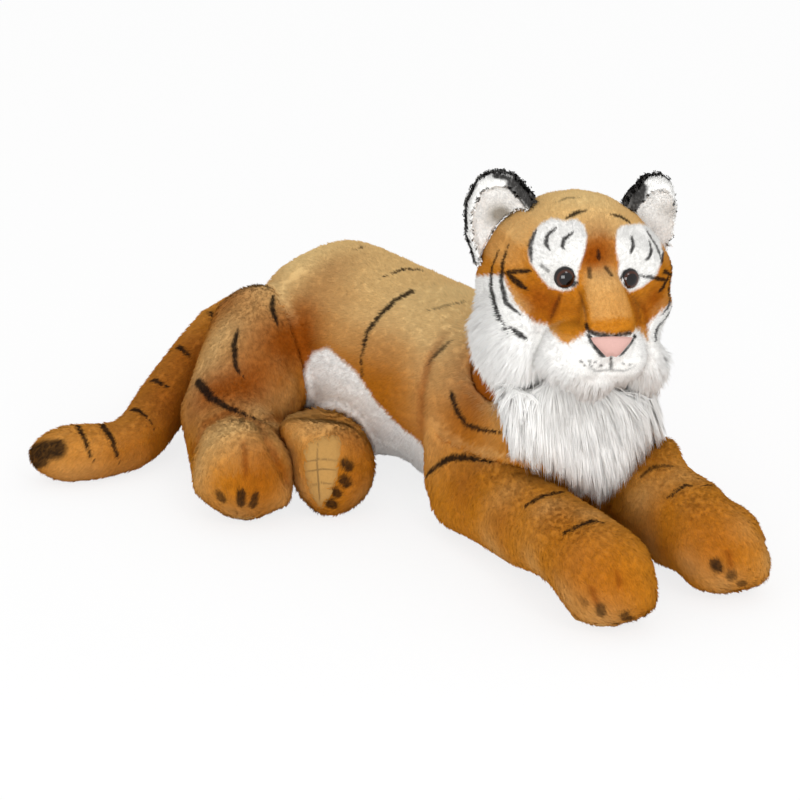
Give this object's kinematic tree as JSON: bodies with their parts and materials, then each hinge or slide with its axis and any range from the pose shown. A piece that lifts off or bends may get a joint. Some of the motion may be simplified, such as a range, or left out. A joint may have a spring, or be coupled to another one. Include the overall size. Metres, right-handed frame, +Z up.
{
  "type": "plush tiger",
  "caption": "Stuffed toy tiger lying on its belly, with sewn limbs, tail, ears and a head that give at their seams.",
  "frame": {"origin": "on the ground, under the middle of the toy's bounding box", "axes": "+Z up, the tiger's chest faces -Y, its left side is +X"},
  "size_m": [0.352, 0.5436, 0.2697],
  "materials": {
    "gold_pile": "short pile, sprayed shading and stripes",
    "white_pile": "white pile, long on the bib",
    "black_pile": "black pile",
    "pink_velour": "velour",
    "tan_suede": "suede cloth with stitched toe lines",
    "eye_plastic": "polished dark dome",
    "washer_plastic": "moulded",
    "filling": "polyester filling"
  },
  "bodies": {
    "trunk": {"torso_cover": "gold_pile", "belly_panel": "white_pile", "torso_filling": "filling", "bib": "white_pile"},
    "neck": {"neck": "gold_pile"},
    "head": {"head_cover": "gold_pile", "head_filling": "filling", "nose_bridge": "gold_pile", "muzzle": "white_pile", "nose": "pink_velour", "right_eye": "eye_plastic", "right_eye_washer": "washer_plastic", "right_eye_patch": "white_pile", "right_cheek": "white_pile", "left_eye": "eye_plastic", "left_eye_washer": "washer_plastic", "left_eye_patch": "white_pile", "left_cheek": "white_pile"},
    "right_ear": {"right_ear_back": "black_pile", "right_ear_front": "white_pile"},
    "left_ear": {"left_ear_back": "black_pile", "left_ear_front": "white_pile"},
    "right_foreleg": {"right_foreleg_cover": "gold_pile", "right_foreleg_sole": "tan_suede", "right_foreleg_filling": "filling"},
    "left_foreleg": {"left_foreleg_cover": "gold_pile", "left_foreleg_sole": "tan_suede", "left_foreleg_filling": "filling"},
    "right_hindleg": {"right_hindleg_cover": "gold_pile", "right_hindleg_sole": "tan_suede", "right_hindleg_filling": "filling"},
    "left_hindleg": {"left_hindleg_cover": "gold_pile", "left_hindleg_sole": "tan_suede", "left_hindleg_filling": "filling"},
    "tail": {"tail_cover": "gold_pile", "tail_filling": "filling"}
  },
  "joints": [
    {"name": "neck_turn", "type": "hinge", "parent": "trunk", "child": "neck", "pos_m": [0.09236, -0.08406, 0.156], "axis": [0.0537, -0.5098, 0.8586], "range_deg": [-10, 10], "stiffness_Nm_per_rad": 8},
    {"name": "head_nod", "type": "hinge", "parent": "neck", "child": "head", "pos_m": [0.09236, -0.08406, 0.156], "axis": [0.9455, -0.3256, 0], "range_deg": [-6, 6], "stiffness_Nm_per_rad": 12},
    {"name": "right_ear_fold", "type": "hinge", "parent": "head", "child": "right_ear", "pos_m": [0.04675, -0.08082, 0.2283], "axis": [0.749, -0.6423, 0.1626], "range_deg": [-10, 10], "stiffness_Nm_per_rad": 0.1},
    {"name": "left_ear_fold", "type": "hinge", "parent": "head", "child": "left_ear", "pos_m": [0.14283, -0.1139, 0.21941], "axis": [0.9458, 0.0588, -0.3194], "range_deg": [-10, 10], "stiffness_Nm_per_rad": 0.1},
    {"name": "right_foreleg_lift", "type": "hinge", "parent": "trunk", "child": "right_foreleg", "pos_m": [0.05536, -0.02406, 0.092], "axis": [-1, 0, 0], "range_deg": [0, 12], "stiffness_Nm_per_rad": 6},
    {"name": "left_foreleg_lift", "type": "hinge", "parent": "trunk", "child": "left_foreleg", "pos_m": [0.14436, -0.03806, 0.092], "axis": [-1, 0, 0], "range_deg": [0, 12], "stiffness_Nm_per_rad": 6},
    {"name": "right_hindleg_swing", "type": "hinge", "parent": "trunk", "child": "right_hindleg", "pos_m": [0.02136, 0.17994, 0.082], "axis": [0, 0, -1], "range_deg": [0, 5], "stiffness_Nm_per_rad": 4},
    {"name": "left_hindleg_lift", "type": "hinge", "parent": "trunk", "child": "left_hindleg", "pos_m": [0.02636, 0.09394, 0.03], "axis": [-0.8346, 0.5508, 0], "range_deg": [0, 10], "stiffness_Nm_per_rad": 3},
    {"name": "tail_swing", "type": "hinge", "parent": "trunk", "child": "tail", "pos_m": [0.04936, 0.24394, 0.082], "axis": [0, 0, 1], "range_deg": [-12, 2], "stiffness_Nm_per_rad": 1.5}
  ]
}
